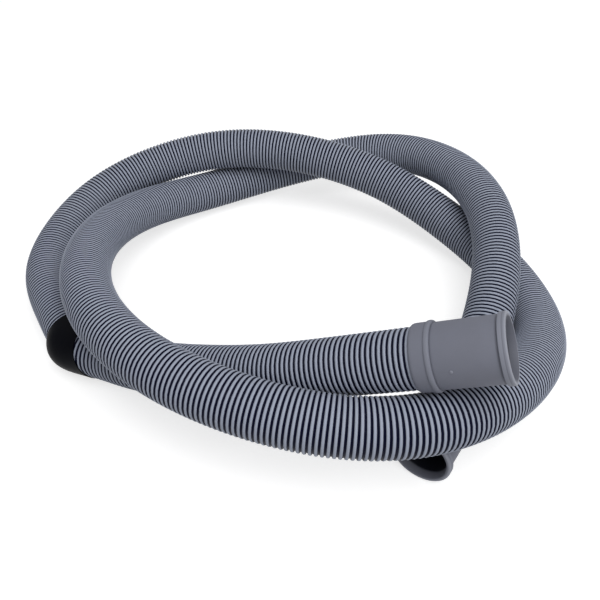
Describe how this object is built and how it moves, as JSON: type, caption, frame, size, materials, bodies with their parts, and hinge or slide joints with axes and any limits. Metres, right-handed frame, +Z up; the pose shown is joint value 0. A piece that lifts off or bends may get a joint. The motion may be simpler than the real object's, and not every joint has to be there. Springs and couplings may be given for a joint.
{
  "type": "dishwasher drain hose",
  "caption": "Corrugated plastic drain hose lying in a loose coil, with a straight moulded rubber cuff on each end and a black band wrapped round it.",
  "frame": {"origin": "centre of the coil's box, on the surface that it lies on", "axes": "+Z up; the picture is taken from the -Y side, with +X to its right"},
  "size_m": [0.2926, 0.2787, 0.0886],
  "materials": {
    "hose_plastic": "satin, extruded and corrugated",
    "cuff_rubber": "matte, moulded",
    "band_film": "glossy film"
  },
  "bodies": {
    "root": {"drain_hose": "hose_plastic", "outlet_cuff": "cuff_rubber", "inlet_cuff": "cuff_rubber", "black_band": "band_film"}
  },
  "joints": []
}
